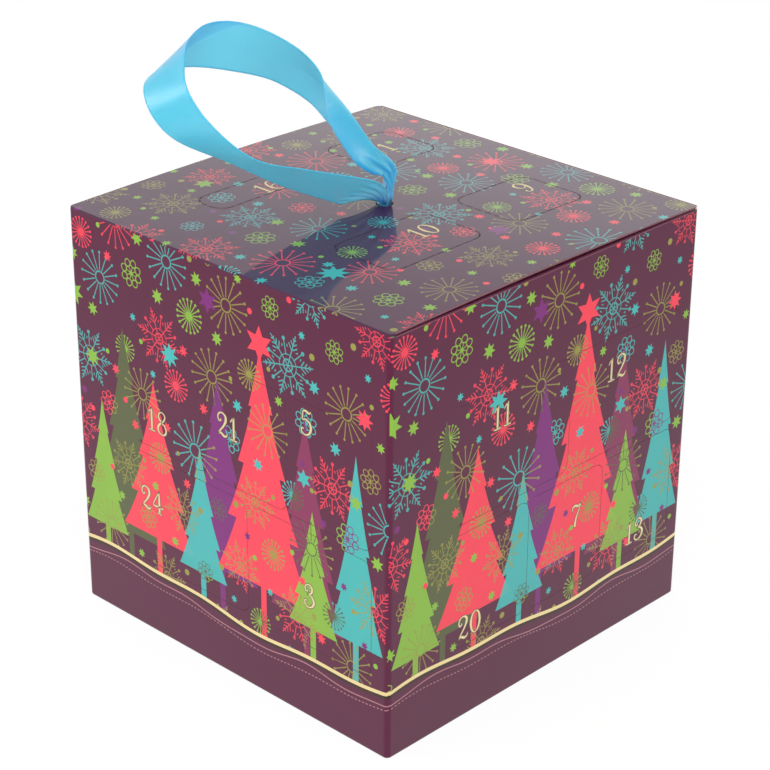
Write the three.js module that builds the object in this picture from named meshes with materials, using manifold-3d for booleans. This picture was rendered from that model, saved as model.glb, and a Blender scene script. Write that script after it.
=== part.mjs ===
// Advent calendar cube: a folding carton of printed board with 24 perforated doors.
// Each side wall hides a tray of five cells, and the lid hides a deck with four pockets.
// A ribbon handle comes up through the middle of the lid and is knotted below it.
// The front wall faces -Y, the lid folds off its top edge, and +Z is up.

import * as THREE from 'three';
import { mergeVertices } from 'three/addons/utils/BufferGeometryUtils.js';
import Module from 'manifold-3d';

const wasm = await Module();
wasm.setup();

// Driving sizes of the carton, in millimetres
const CUBE_WIDTH = 200;
const CUBE_DEPTH = 200;
const CUBE_HEIGHT = 200;
const BOARD = 0.8;
const FOLD_RADIUS = 2.5;
const CLEARANCE = 0.3;
const OVERRUN = 1;
const GLUE_FLAP_WIDTH = 15;
const BOTTOM_SIDE_FLAP = 62;
const BOTTOM_INNER_FLAP = 120;

// Lid, its tuck flap and the dust flaps under its raw edges
const LID_BOW = 1.2;
const LID_EDGE_INSET = 0.3;
const TUCK_LENGTH = 22;
const TUCK_CORNER = 9;
const TUCK_LEAN = THREE.MathUtils.degToRad(8);
const DUST_FLAP_LENGTH = 26;
const DUST_FLAP_SHOULDER = 3;
const DUST_FLAP_SLOPE_SHARE = 1.15;
const RIBBON_HOLE_RADIUS = 4;

// Doors and the board left between them
const DOOR_CUT = 0.2;
const DOOR_CORNER = 5;
const LID_DOOR_CORNER = 7;
const DOOR_BRIDGE = 4;
const ROW_BRIDGE = 5;
const DOOR_END_MARGIN = 10;
const DOOR_HEIGHT_SHARE = 0.28;

// Trays of card behind the doors
const TRAY_WALL = 1;
const SIDE_TRAY_DEPTH = 38;
const TOP_TRAY_DEPTH = 41;
const CORE_WALL = 1.2;
const RISER_WALL = 1.2;
const KNOT_WINDOW_SHARE = 0.15;

// Ribbon handle
const LOOP_REACH = 100;
const RIBBON_WIDTH = 25;
const RIBBON_THICKNESS = 0.6;
const GATHERED_WIDTH = 5;
const GATHERED_THICKNESS = 1.5;
const KNOT_RADIUS = 6.5;
const KNOT_HEIGHT = 11;
const KNOT_WRAP = 2.5;
const KNOT_TAIL_LENGTH = 16;
const KNOT_TAIL_WIDTH = 8;
const KNOT_TAIL_NOTCH = 4;
const KNOT_TAIL_SPREAD = THREE.MathUtils.degToRad(24);

// Numbers of steps in round stretches
const FOLD_STEPS = 2;
const CORNER_STEPS = 2;
const BOW_STEPS = 16;
const HOLE_STEPS = 20;
const RIBBON_STEPS = 60;
const RIBBON_STRIPS = 6;
const KNOT_STEPS = 12;

// Numbers on the doors, row by row from each face's own left-hand edge
const FACES = [
  { name: 'front', quarterTurns: 0, upper: [18, 21, 5], lower: [24, 3] },
  { name: 'right', quarterTurns: 1, upper: [11, 12], lower: [20, 7, 13] },
  { name: 'back', quarterTurns: 2, upper: [15, 2, 22], lower: [6, 19] },
  { name: 'left', quarterTurns: 3, upper: [14, 4], lower: [23, 8, 17] },
];

// Doors of the lid as shares of its width (x) and depth (y), from the front left corner
const lidDoorShares = [
  { number: 16, x: [0.178, 0.272], y: [0.215, 0.44] },
  { number: 1, x: [0.15, 0.33], y: [0.65, 0.865] },
  { number: 10, x: [0.595, 0.7875], y: [0.23, 0.52] },
  { number: 9, x: [0.595, 0.7875], y: [0.62, 0.86] },
];

// Free stretch of the ribbon, from the hole round the loop and back to the hole. Each station
// has its middle as shares of the loop's reach, the way across the ribbon, its width as a share
// of the full width, and the angle in degrees to which its two edges are cupped.
const loopStationShares = [
  { at: [0.02, -0.11, 0.075], across: [0.85, 0.3, 0.4], wide: 0.7, cup: 0 },
  { at: [0.02, -0.22, 0.12], across: [0.75, 0, 0.65], wide: 1, cup: 0 },
  { at: [-0.085, -0.45, 0.21], across: [0.8, -0.15, 0.55], wide: 1, cup: 0 },
  { at: [-0.205, -0.67, 0.32], across: [0.9, -0.3, 0.4], wide: 1, cup: 0 },
  { at: [-0.335, -0.855, 0.485], across: [0.8, 0, 0.6], wide: 1, cup: 0 },
  { at: [-0.41, -0.89, 0.59], across: [0.75, 0.15, 0.65], wide: 1, cup: 0 },
  { at: [-0.5, -0.835, 0.675], across: [0.75, 0.3, 0.6], wide: 1, cup: 0 },
  { at: [-0.57, -0.725, 0.715], across: [0.7, 0.2, 0.7], wide: 1, cup: 0 },
  { at: [-0.62, -0.53, 0.71], across: [0.5, 0.15, 0.85], wide: 1, cup: 0 },
  { at: [-0.59, -0.33, 0.665], across: [0.4, 0.15, 0.9], wide: 1, cup: 0 },
  { at: [-0.475, -0.165, 0.59], across: [0.6, -0.05, 0.8], wide: 1, cup: 8 },
  { at: [-0.355, -0.04, 0.485], across: [0.65, -0.3, 0.7], wide: 1, cup: 35 },
  { at: [-0.24, -0.02, 0.41], across: [0.45, -0.5, 0.75], wide: 1, cup: 65 },
  { at: [-0.13, -0.045, 0.36], across: [0.3, -0.8, 0.5], wide: 1, cup: 85 },
  { at: [-0.02, -0.045, 0.275], across: [0.3, -0.85, 0.4], wide: 1, cup: 90 },
  { at: [0.035, 0.025, 0.17], across: [0.5, -0.8, 0.1], wide: 0.65, cup: 70 },
];

// Colours and finishes
const printedBoard = { color: 0x5a2347, roughness: 0.32, metalness: 0 };
const doorBoard = { color: 0x6a2b52, roughness: 0.32, metalness: 0 };
const plainBoard = { color: 0xd9d3c8, roughness: 0.85, metalness: 0 };
const satin = { color: 0x4db4e6, roughness: 0.4, metalness: 0 };

// Heights that follow from the sizes above, from the lid downwards
const doorHeight = CUBE_HEIGHT * DOOR_HEIGHT_SHARE;
const lidUnderside = CUBE_HEIGHT - BOARD;
const dustFlapTop = lidUnderside - CLEARANCE;
const sideWallTop = dustFlapTop - BOARD;
const topTrayTop = sideWallTop - CLEARANCE;
const topTrayBottom = topTrayTop - TOP_TRAY_DEPTH;
const cellSideMargin = (DOOR_BRIDGE - TRAY_WALL) / 2;
const cellRowMargin = (ROW_BRIDGE - TRAY_WALL) / 2;
const upperDoorTop = topTrayBottom - TRAY_WALL - cellRowMargin;
const upperDoorBottom = upperDoorTop - doorHeight;
const lowerDoorTop = upperDoorBottom - ROW_BRIDGE;
const lowerDoorBottom = lowerDoorTop - doorHeight;
const sideTrayBottom = lowerDoorBottom - cellRowMargin - TRAY_WALL;
const innerFlapTop = 2 * BOARD;
const sideFlapTop = 3 * BOARD;

// Distances inwards from the carton's outer faces
const trayFront = BOARD + CLEARANCE;
const trayBack = trayFront + SIDE_TRAY_DEPTH;
const trayStart = trayBack + CLEARANCE;
const trayEnd = 2 * BOARD + CLEARANCE;
const firstDoor = trayStart + TRAY_WALL + cellSideMargin;
const tuckFace = BOARD + CLEARANCE;
const tuckReach = (TUCK_LENGTH + CLEARANCE) * Math.sin(TUCK_LEAN) + BOARD * Math.cos(TUCK_LEAN);
const tuckRoom = tuckFace + tuckReach + CLEARANCE;

// A closed geometry becomes a solid that can be cut and joined
function solidFrom(geometry) {
  const bare = geometry.clone();
  bare.deleteAttribute('normal');
  bare.deleteAttribute('uv');
  const merged = mergeVertices(bare);
  return new wasm.Manifold(new wasm.Mesh({
    numProp: 3,
    vertProperties: new Float32Array(merged.attributes.position.array),
    triVerts: new Uint32Array(merged.index.array),
  }));
}

// A cut solid goes back to a geometry
function geometryFrom(solid) {
  const mesh = solid.getMesh();
  const geometry = new THREE.BufferGeometry();
  geometry.setAttribute('position', new THREE.BufferAttribute(mesh.vertProperties, 3));
  geometry.setIndex(new THREE.BufferAttribute(mesh.triVerts, 1));
  return geometry;
}

// A named mesh with its own material
function namedMesh(name, geometry, finish) {
  geometry.deleteAttribute('uv');
  const mesh = new THREE.Mesh(geometry, new THREE.MeshStandardMaterial(finish));
  mesh.name = name;
  return mesh;
}

// A box between two corners
function boxBetween(low, high) {
  const size = high.map((value, axis) => value - low[axis]);
  const middle = high.map((value, axis) => (value + low[axis]) / 2);
  return new THREE.BoxGeometry(...size).translate(...middle);
}

// A flat outline drawn in (x, z) and made solid between two y planes
function uprightPlate(shape, fromY, toY, curveSegments = CORNER_STEPS) {
  const plate = new THREE.ExtrudeGeometry(shape, {
    depth: toY - fromY, bevelEnabled: false, curveSegments,
  });
  return plate.rotateX(Math.PI / 2).translate(0, toY, 0);
}

// A flat outline drawn in (x, y) and made solid between two heights
function levelPlate(shape, fromZ, toZ, curveSegments = CORNER_STEPS) {
  const plate = new THREE.ExtrudeGeometry(shape, {
    depth: toZ - fromZ, bevelEnabled: false, curveSegments,
  });
  return plate.translate(0, 0, fromZ);
}

// A profile drawn in (y, z) and made solid between two x planes
function profileAlongX(shape, fromX, toX) {
  const profile = new THREE.ExtrudeGeometry(shape, {
    depth: toX - fromX, bevelEnabled: false, curveSegments: FOLD_STEPS,
  });
  const turn = new THREE.Matrix4().makeBasis(
    new THREE.Vector3(0, 1, 0), new THREE.Vector3(0, 0, 1), new THREE.Vector3(1, 0, 0),
  );
  return profile.applyMatrix4(turn).translate(fromX, 0, 0);
}

// Door outline: square corners on the hinge side, round ones on the free side.
// The first axis runs away from the hinge, and grow widens the three cut sides.
function doorOutline(hinge, free, low, high, corner, grow) {
  const shape = new THREE.Shape();
  const outer = free + grow;
  const bottom = low - grow;
  const top = high + grow;
  const radius = corner + grow;
  shape.moveTo(hinge, bottom);
  shape.lineTo(outer - radius, bottom);
  shape.absarc(outer - radius, bottom + radius, radius, -Math.PI / 2, 0, false);
  shape.lineTo(outer, top - radius);
  shape.absarc(outer - radius, top - radius, radius, 0, Math.PI / 2, false);
  shape.lineTo(hinge, top);
  shape.closePath();
  return shape;
}

// Places of one face's doors, along the face from its left-hand edge
function doorRow(length, numbers, low, high) {
  const bridges = DOOR_BRIDGE * (numbers.length - 1);
  const width = (length - firstDoor - DOOR_END_MARGIN - bridges) / numbers.length;
  return numbers.map((number, place) => {
    const hinge = firstDoor + place * (width + DOOR_BRIDGE) - length / 2;
    return { number, hinge, free: hinge + width, low, high };
  });
}

function doorsOf(face, length) {
  return [
    ...doorRow(length, face.upper, upperDoorBottom, upperDoorTop),
    ...doorRow(length, face.lower, lowerDoorBottom, lowerDoorTop),
  ];
}

function doorName(number) {
  return `door_${String(number).padStart(2, '0')}`;
}

// Wall panel with a quarter of each upright fold at its two ends
function wallPanel(length, reach, top, doors) {
  const half = length / 2;
  const centre = half - FOLD_RADIUS;
  const inner = FOLD_RADIUS - BOARD;
  const plan = new THREE.Shape();
  plan.moveTo(-centre, -reach);
  plan.lineTo(centre, -reach);
  plan.absarc(centre, FOLD_RADIUS - reach, FOLD_RADIUS, -Math.PI / 2, -Math.PI / 4, false);
  plan.absarc(centre, FOLD_RADIUS - reach, inner, -Math.PI / 4, -Math.PI / 2, true);
  plan.lineTo(-centre, BOARD - reach);
  plan.absarc(-centre, FOLD_RADIUS - reach, inner, -Math.PI / 2, -3 * Math.PI / 4, true);
  plan.absarc(-centre, FOLD_RADIUS - reach, FOLD_RADIUS, -3 * Math.PI / 4, -Math.PI / 2, false);
  let solid = solidFrom(levelPlate(plan, BOARD, top, FOLD_STEPS));
  for (const door of doors) {
    const outline = doorOutline(door.hinge, door.free, door.low, door.high, DOOR_CORNER, DOOR_CUT);
    const cutter = uprightPlate(outline, -reach - OVERRUN, BOARD + OVERRUN - reach);
    solid = solid.subtract(solidFrom(cutter));
  }
  return geometryFrom(solid);
}

// Door leaf, cut from the same board as its wall
function sideDoor(door, reach) {
  const outline = doorOutline(door.hinge, door.free, door.low, door.high, DOOR_CORNER, 0);
  return uprightPlate(outline, -reach, BOARD - reach);
}

// Side tray: one cell behind each door, and the last cell runs to the end wall
function sideTray(length, reach, doors) {
  const front = trayFront - reach;
  const back = trayBack - reach;
  const end = length / 2 - trayEnd;
  const lastCellEnd = end - TRAY_WALL;
  const body = boxBetween([trayStart - length / 2, front, sideTrayBottom], [end, back, topTrayBottom]);
  let solid = solidFrom(body);
  for (const door of doors) {
    const isLast = door.free + cellSideMargin + DOOR_BRIDGE > length / 2 - DOOR_END_MARGIN;
    const low = [door.hinge - cellSideMargin, front - OVERRUN, door.low - cellRowMargin];
    const cellEnd = isLast ? lastCellEnd : door.free + cellSideMargin;
    const high = [cellEnd, back - TRAY_WALL, door.high + cellRowMargin];
    solid = solid.subtract(solidFrom(boxBetween(low, high)));
  }
  return geometryFrom(solid);
}

// Height that the bow adds to the lid at one place along its depth
const lidBack = CUBE_DEPTH / 2 - tuckFace;
const lidDepth = lidBack + CUBE_DEPTH / 2;

function bowAt(y) {
  const share = THREE.MathUtils.clamp((y + CUBE_DEPTH / 2) / lidDepth, 0, 1);
  return LID_BOW * Math.sin(Math.PI * share);
}

// Level rectangle with four round corners
function roundedRectangle(left, right, front, back, radius) {
  const shape = new THREE.Shape();
  shape.moveTo(left + radius, front);
  shape.absarc(right - radius, front + radius, radius, -Math.PI / 2, 0, false);
  shape.absarc(right - radius, back - radius, radius, 0, Math.PI / 2, false);
  shape.absarc(left + radius, back - radius, radius, Math.PI / 2, Math.PI, false);
  shape.absarc(left + radius, front + radius, radius, Math.PI, 3 * Math.PI / 2, false);
  return shape;
}

// Bowed plate from the front fold to the tuck fold, with both folds rounded
function bowedPlate() {
  const front = -CUBE_DEPTH / 2;
  const left = LID_EDGE_INSET - CUBE_WIDTH / 2;
  const right = CUBE_WIDTH / 2 - LID_EDGE_INSET;
  const shape = new THREE.Shape();
  shape.moveTo(front, lidUnderside);
  for (let step = 1; step <= BOW_STEPS; step += 1) {
    const y = front + lidDepth * step / BOW_STEPS;
    shape.lineTo(y, lidUnderside + bowAt(y));
  }
  shape.absarc(lidBack - BOARD, lidUnderside, BOARD, 0, Math.PI / 2, false);
  for (let step = BOW_STEPS - 1; step >= 1; step -= 1) {
    const y = front + lidDepth * step / BOW_STEPS;
    shape.lineTo(y, CUBE_HEIGHT + bowAt(y));
  }
  shape.absarc(front + BOARD, lidUnderside, BOARD, Math.PI / 2, Math.PI, false);
  const plate = solidFrom(profileAlongX(shape, left - OVERRUN, right + OVERRUN));
  const plan = roundedRectangle(left, right, front, lidBack, FOLD_RADIUS);
  const prism = levelPlate(plan, lidUnderside - OVERRUN, CUBE_HEIGHT + LID_BOW + OVERRUN, FOLD_STEPS);
  return plate.intersect(solidFrom(prism));
}

const lidDoors = lidDoorShares.map(({ number, x, y }) => ({
  number,
  left: (x[0] - 1 / 2) * CUBE_WIDTH,
  right: (x[1] - 1 / 2) * CUBE_WIDTH,
  hinge: (y[0] - 1 / 2) * CUBE_DEPTH,
  free: (y[1] - 1 / 2) * CUBE_DEPTH,
}));

// Upright cutter in the shape of a lid door, whose hinge runs along X
function lidDoorCutter(door, grow) {
  const outline = doorOutline(door.hinge, door.free, -door.right, -door.left, LID_DOOR_CORNER, grow);
  const prism = levelPlate(outline, lidUnderside - OVERRUN, CUBE_HEIGHT + LID_BOW + OVERRUN);
  return solidFrom(prism.rotateZ(Math.PI / 2));
}

function lidPanel() {
  let solid = bowedPlate();
  for (const door of lidDoors) {
    solid = solid.subtract(lidDoorCutter(door, DOOR_CUT));
  }
  const hole = new THREE.Shape();
  hole.absarc(0, 0, RIBBON_HOLE_RADIUS, 0, 2 * Math.PI, false);
  const drill = levelPlate(hole, lidUnderside - OVERRUN, CUBE_HEIGHT + LID_BOW + OVERRUN, HOLE_STEPS / 2);
  return geometryFrom(solid.subtract(solidFrom(drill)));
}

function lidDoor(door) {
  return geometryFrom(bowedPlate().intersect(lidDoorCutter(door, 0)));
}

// Tuck flap: hangs from the lid's back fold and leans in, clear of the back wall
function tuckFlap() {
  const halfWidth = CUBE_WIDTH / 2 - FOLD_RADIUS - CLEARANCE;
  const shape = new THREE.Shape();
  shape.moveTo(-halfWidth, -CLEARANCE);
  const cornerHeight = TUCK_CORNER - TUCK_LENGTH;
  shape.lineTo(-halfWidth, cornerHeight);
  shape.absarc(TUCK_CORNER - halfWidth, cornerHeight, TUCK_CORNER, Math.PI, 3 * Math.PI / 2, false);
  shape.absarc(halfWidth - TUCK_CORNER, cornerHeight, TUCK_CORNER, -Math.PI / 2, 0, false);
  shape.lineTo(halfWidth, -CLEARANCE);
  shape.closePath();
  return uprightPlate(shape, -BOARD, 0, 2 * CORNER_STEPS);
}

// Dust flap on the right wall; the left one is its mirror image
function dustFlap(side) {
  const edge = CUBE_WIDTH / 2;
  const front = DUST_FLAP_SHOULDER - CUBE_DEPTH / 2;
  const back = CUBE_DEPTH / 2 - tuckRoom;
  const slopeRun = DUST_FLAP_LENGTH / DUST_FLAP_SLOPE_SHARE;
  const tip = edge - DUST_FLAP_LENGTH;
  const plan = new THREE.Shape();
  plan.moveTo(edge, front);
  plan.lineTo(edge, back);
  plan.lineTo(tip, back - DUST_FLAP_SHOULDER);
  plan.lineTo(tip, front + slopeRun);
  plan.closePath();
  const outline = solidFrom(levelPlate(plan, sideWallTop, dustFlapTop));
  const section = new THREE.Shape();
  section.moveTo(tip - OVERRUN, sideWallTop);
  section.lineTo(edge, sideWallTop);
  section.absarc(edge - BOARD, sideWallTop, BOARD, 0, Math.PI / 2, false);
  section.lineTo(tip - OVERRUN, dustFlapTop);
  section.closePath();
  const rounded = solidFrom(uprightPlate(section, front - OVERRUN, back + OVERRUN, FOLD_STEPS));
  const flap = rounded.intersect(outline);
  return geometryFrom(side > 0 ? flap : flap.mirror([1, 0, 0]));
}

// Bottom panel: the outer glued flap, rounded where the walls fold under
function bottomPanel() {
  const halfWidth = CUBE_WIDTH / 2 - BOARD;
  const halfDepth = CUBE_DEPTH / 2 - BOARD;
  const plan = roundedRectangle(-halfWidth, halfWidth, -halfDepth, halfDepth, FOLD_RADIUS - BOARD);
  const pillow = new THREE.ExtrudeGeometry(plan, {
    depth: 2 * BOARD,
    bevelEnabled: true,
    bevelThickness: BOARD,
    bevelSize: BOARD,
    bevelSegments: FOLD_STEPS,
    curveSegments: FOLD_STEPS,
  }).translate(0, 0, BOARD);
  const above = boxBetween([-CUBE_WIDTH, -CUBE_DEPTH, BOARD], [CUBE_WIDTH, CUBE_DEPTH, CUBE_HEIGHT]);
  return geometryFrom(solidFrom(pillow).subtract(solidFrom(above)));
}

// Riser under the side trays: a shallow box open at the bottom
function baseRiser() {
  const halfWidth = CUBE_WIDTH / 2 - trayEnd;
  const halfDepth = CUBE_DEPTH / 2 - trayEnd;
  const outside = boxBetween([-halfWidth, -halfDepth, sideFlapTop], [halfWidth, halfDepth, sideTrayBottom]);
  const inside = boxBetween(
    [RISER_WALL - halfWidth, RISER_WALL - halfDepth, sideFlapTop - OVERRUN],
    [halfWidth - RISER_WALL, halfDepth - RISER_WALL, sideTrayBottom - RISER_WALL],
  );
  return geometryFrom(solidFrom(outside).subtract(solidFrom(inside)));
}

// Square sleeve that stands between the backs of the four side trays
function coreSleeve() {
  const halfWidth = CUBE_WIDTH / 2 - trayStart;
  const halfDepth = CUBE_DEPTH / 2 - trayStart;
  const outside = boxBetween([-halfWidth, -halfDepth, sideTrayBottom], [halfWidth, halfDepth, topTrayBottom]);
  const inside = boxBetween(
    [CORE_WALL - halfWidth, CORE_WALL - halfDepth, sideTrayBottom - OVERRUN],
    [halfWidth - CORE_WALL, halfDepth - CORE_WALL, topTrayBottom + OVERRUN],
  );
  return geometryFrom(solidFrom(outside).subtract(solidFrom(inside)));
}

// Plan of the pocket below one lid door, as its front left and back right corners
function pocketPlan(door) {
  return [
    [door.left - cellSideMargin, door.hinge - cellSideMargin],
    [door.right + cellSideMargin, door.free + cellSideMargin],
  ];
}

// Deck under the lid: a plate on four skirts, with a window over each pocket and one for the knot
function topDeck() {
  const halfWidth = CUBE_WIDTH / 2 - trayEnd;
  const front = trayEnd - CUBE_DEPTH / 2;
  const back = CUBE_DEPTH / 2 - tuckRoom;
  const outside = boxBetween([-halfWidth, front, topTrayBottom], [halfWidth, back, topTrayTop]);
  const under = boxBetween(
    [TRAY_WALL - halfWidth, front + TRAY_WALL, topTrayBottom - OVERRUN],
    [halfWidth - TRAY_WALL, back - TRAY_WALL, topTrayTop - TRAY_WALL],
  );
  let solid = solidFrom(outside).subtract(solidFrom(under));
  const knotReach = CUBE_WIDTH * KNOT_WINDOW_SHARE / 2;
  const knotWindow = [[-knotReach, -knotReach], [knotReach, knotReach]];
  for (const [low, high] of [...lidDoors.map(pocketPlan), knotWindow]) {
    const cutter = boxBetween([...low, topTrayTop - TRAY_WALL - OVERRUN], [...high, topTrayTop + OVERRUN]);
    solid = solid.subtract(solidFrom(cutter));
  }
  return geometryFrom(solid);
}

// Pocket below one lid door: an open box that hangs from the deck and stands on what is below
function lidPocket(door) {
  const [low, high] = pocketPlan(door);
  const outside = boxBetween(
    [low[0] - TRAY_WALL, low[1] - TRAY_WALL, topTrayBottom],
    [high[0] + TRAY_WALL, high[1] + TRAY_WALL, topTrayTop - TRAY_WALL],
  );
  const inside = boxBetween([...low, topTrayBottom + TRAY_WALL], [...high, topTrayTop]);
  return geometryFrom(solidFrom(outside).subtract(solidFrom(inside)));
}

// Where the ribbon leaves the lid, and the top of the knot below it
const ribbonExit = new THREE.Vector3(0, 0, CUBE_HEIGHT + bowAt(0));
const knotTop = lidUnderside + bowAt(0) - CLEARANCE;
const gatherOffset = GATHERED_THICKNESS / 2 + CLEARANCE;

// One gathered end of the ribbon, from the lid's face down to the knot
function gatheredEnd(side) {
  const heights = [ribbonExit.z + BOARD, knotTop + CLEARANCE];
  return heights.map((z) => ({
    at: new THREE.Vector3(0, side * gatherOffset, z),
    across: new THREE.Vector3(1, 0, 0),
    wide: GATHERED_WIDTH / RIBBON_WIDTH,
    cup: 0,
  }));
}

// All stations of the ribbon in its own order, with real places
function ribbonStations() {
  const loop = loopStationShares.map(({ at, across, wide, cup }) => ({
    at: new THREE.Vector3(...at).multiplyScalar(LOOP_REACH).add(ribbonExit),
    across: new THREE.Vector3(...across),
    wide,
    cup,
  }));
  return [...gatheredEnd(-1).reverse(), ...loop, ...gatheredEnd(1)];
}

// Points across the ribbon, one strip after another from the middle outwards
function ribbonSection(middle, across, normal, stripWidth, cup) {
  const sides = [-1, 1].map((side) => {
    const spot = middle.clone();
    const points = [];
    for (let strip = 1; strip <= RIBBON_STRIPS / 2; strip += 1) {
      const turn = cup * Math.sqrt((2 * strip - 1) / RIBBON_STRIPS);
      spot.addScaledVector(across, side * stripWidth * Math.cos(turn));
      spot.addScaledVector(normal, stripWidth * Math.sin(turn));
      points.push({ spot: spot.clone(), lean: -side * turn });
    }
    return points;
  });
  return [...sides[0].reverse(), { spot: middle, lean: 0 }, ...sides[1]];
}

// The ribbon: a strip with two faces, lofted through its stations
function ribbonLoop() {
  const stations = ribbonStations();
  const path = new THREE.CatmullRomCurve3(stations.map(({ at }) => at), false, 'centripetal');
  const ways = new THREE.CatmullRomCurve3(stations.map(({ across }) => across), false, 'catmullrom');
  const shapes = new THREE.CatmullRomCurve3(
    stations.map(({ wide, cup }) => new THREE.Vector3(wide, THREE.MathUtils.degToRad(cup), 0)),
    false, 'catmullrom',
  );
  const narrowest = GATHERED_WIDTH / RIBBON_WIDTH;
  const positions = [];
  for (let step = 0; step <= RIBBON_STEPS; step += 1) {
    const share = step / RIBBON_STEPS;
    const along = path.getTangent(share);
    const across = ways.getPoint(share);
    across.addScaledVector(along, -across.dot(along)).normalize();
    const normal = along.clone().cross(across);
    const { x: wide, y: cup } = shapes.getPoint(share);
    const gathered = THREE.MathUtils.clamp((1 - wide) / (1 - narrowest), 0, 1);
    const halfThickness = THREE.MathUtils.lerp(RIBBON_THICKNESS, GATHERED_THICKNESS, gathered) / 2;
    const section = ribbonSection(
      path.getPoint(share), across, normal, RIBBON_WIDTH * wide / RIBBON_STRIPS, Math.max(cup, 0),
    );
    const face = (side, { spot, lean }) => spot.clone()
      .addScaledVector(normal, side * halfThickness * Math.cos(lean))
      .addScaledVector(across, side * halfThickness * Math.sin(lean));
    const ring = [
      ...section.map((point) => face(-1, point)),
      ...section.map((point) => face(1, point)).reverse(),
    ];
    ring.forEach((point) => positions.push(...point.toArray()));
  }
  return closedLoft(positions, 2 * (RIBBON_STRIPS + 1), RIBBON_STEPS);
}

// A closed surface through rings of points, with both ends capped strip by strip
function closedLoft(positions, ringPoints, steps) {
  const indices = [];
  for (let step = 0; step < steps; step += 1) {
    for (let place = 0; place < ringPoints; place += 1) {
      const next = (place + 1) % ringPoints;
      const [a, b] = [step * ringPoints + place, step * ringPoints + next];
      const [c, d] = [a + ringPoints, b + ringPoints];
      indices.push(a, b, c, b, d, c);
    }
  }
  for (let place = 0; place < ringPoints / 2 - 1; place += 1) {
    const far = ringPoints - 1 - place;
    const last = steps * ringPoints;
    indices.push(place, far, place + 1, far, far - 1, place + 1);
    indices.push(last + place, last + place + 1, last + far, last + far, last + place + 1, last + far - 1);
  }
  const geometry = new THREE.BufferGeometry();
  geometry.setAttribute('position', new THREE.BufferAttribute(new Float32Array(positions), 3));
  geometry.setIndex(indices);
  return geometry;
}

// Knot under the lid: a lump with one wrap round it and two notched tails
function ribbonKnot() {
  const lump = new THREE.SphereGeometry(1, KNOT_STEPS, KNOT_STEPS / 2);
  lump.scale(KNOT_RADIUS, KNOT_RADIUS, KNOT_HEIGHT / 2);
  const wrap = new THREE.TorusGeometry(KNOT_RADIUS - KNOT_WRAP / 2, KNOT_WRAP, KNOT_STEPS / 2, KNOT_STEPS);
  wrap.rotateX(KNOT_TAIL_SPREAD);
  let solid = solidFrom(lump).add(solidFrom(wrap));
  const half = KNOT_TAIL_WIDTH / 2;
  const outline = new THREE.Shape();
  outline.moveTo(-half, 0);
  outline.lineTo(-half, -KNOT_TAIL_LENGTH);
  outline.lineTo(0, KNOT_TAIL_NOTCH - KNOT_TAIL_LENGTH);
  outline.lineTo(half, -KNOT_TAIL_LENGTH);
  outline.lineTo(half, 0);
  outline.closePath();
  for (const side of [-1, 1]) {
    const tail = uprightPlate(outline, -RIBBON_THICKNESS, RIBBON_THICKNESS);
    tail.translate(0, 0, -KNOT_HEIGHT / 4).rotateX(side * KNOT_TAIL_SPREAD);
    solid = solid.add(solidFrom(tail));
  }
  return geometryFrom(solid).translate(0, 0, knotTop - KNOT_HEIGHT / 2);
}

// The assembly
const cube = new THREE.Group();

for (const face of FACES) {
  const alongX = face.quarterTurns % 2 === 0;
  const length = alongX ? CUBE_WIDTH : CUBE_DEPTH;
  const reach = (alongX ? CUBE_DEPTH : CUBE_WIDTH) / 2;
  const wallTop = { front: lidUnderside, back: CUBE_HEIGHT - LID_EDGE_INSET }[face.name] ?? sideWallTop;
  const doors = doorsOf(face, length);
  const side = new THREE.Group();
  side.rotation.z = face.quarterTurns * Math.PI / 2;
  side.add(namedMesh(`wall_${face.name}`, wallPanel(length, reach, wallTop, doors), printedBoard));
  side.add(namedMesh(`tray_${face.name}`, sideTray(length, reach, doors), plainBoard));
  for (const door of doors) {
    side.add(namedMesh(doorName(door.number), sideDoor(door, reach), doorBoard));
  }
  cube.add(side);
}

cube.add(namedMesh('lid_panel', lidPanel(), printedBoard));
for (const door of lidDoors) {
  cube.add(namedMesh(doorName(door.number), lidDoor(door), doorBoard));
  cube.add(namedMesh(doorName(door.number).replace('door', 'pocket'), lidPocket(door), plainBoard));
}

const tuck = namedMesh('tuck_flap', tuckFlap(), printedBoard);
tuck.position.set(0, lidBack, lidUnderside);
tuck.rotation.x = -TUCK_LEAN;
cube.add(tuck);
cube.add(namedMesh('dust_flap_right', dustFlap(1), printedBoard));
cube.add(namedMesh('dust_flap_left', dustFlap(-1), printedBoard));

const glueFlap = boxBetween(
  [BOARD - CUBE_WIDTH / 2, CUBE_DEPTH / 2 - FOLD_RADIUS - GLUE_FLAP_WIDTH, FOLD_RADIUS],
  [2 * BOARD - CUBE_WIDTH / 2, CUBE_DEPTH / 2 - FOLD_RADIUS, sideWallTop - FOLD_RADIUS],
);
cube.add(namedMesh('glue_flap', glueFlap, plainBoard));

const innerFlap = boxBetween(
  [FOLD_RADIUS - CUBE_WIDTH / 2, trayFront - CUBE_DEPTH / 2, BOARD],
  [CUBE_WIDTH / 2 - FOLD_RADIUS, trayFront - CUBE_DEPTH / 2 + BOTTOM_INNER_FLAP, innerFlapTop],
);
const sideFlap = boxBetween(
  [trayFront - CUBE_WIDTH / 2, FOLD_RADIUS - CUBE_DEPTH / 2, innerFlapTop],
  [trayFront - CUBE_WIDTH / 2 + BOTTOM_SIDE_FLAP, CUBE_DEPTH / 2 - FOLD_RADIUS, sideFlapTop],
);
const otherSideFlap = sideFlap.clone().translate(CUBE_WIDTH - 2 * trayFront - BOTTOM_SIDE_FLAP, 0, 0);
cube.add(namedMesh('bottom_panel', bottomPanel(), printedBoard));
cube.add(namedMesh('bottom_inner_flap', innerFlap, plainBoard));
cube.add(namedMesh('bottom_flap_left', sideFlap, plainBoard));
cube.add(namedMesh('bottom_flap_right', otherSideFlap, plainBoard));
cube.add(namedMesh('base_riser', baseRiser(), plainBoard));
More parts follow.
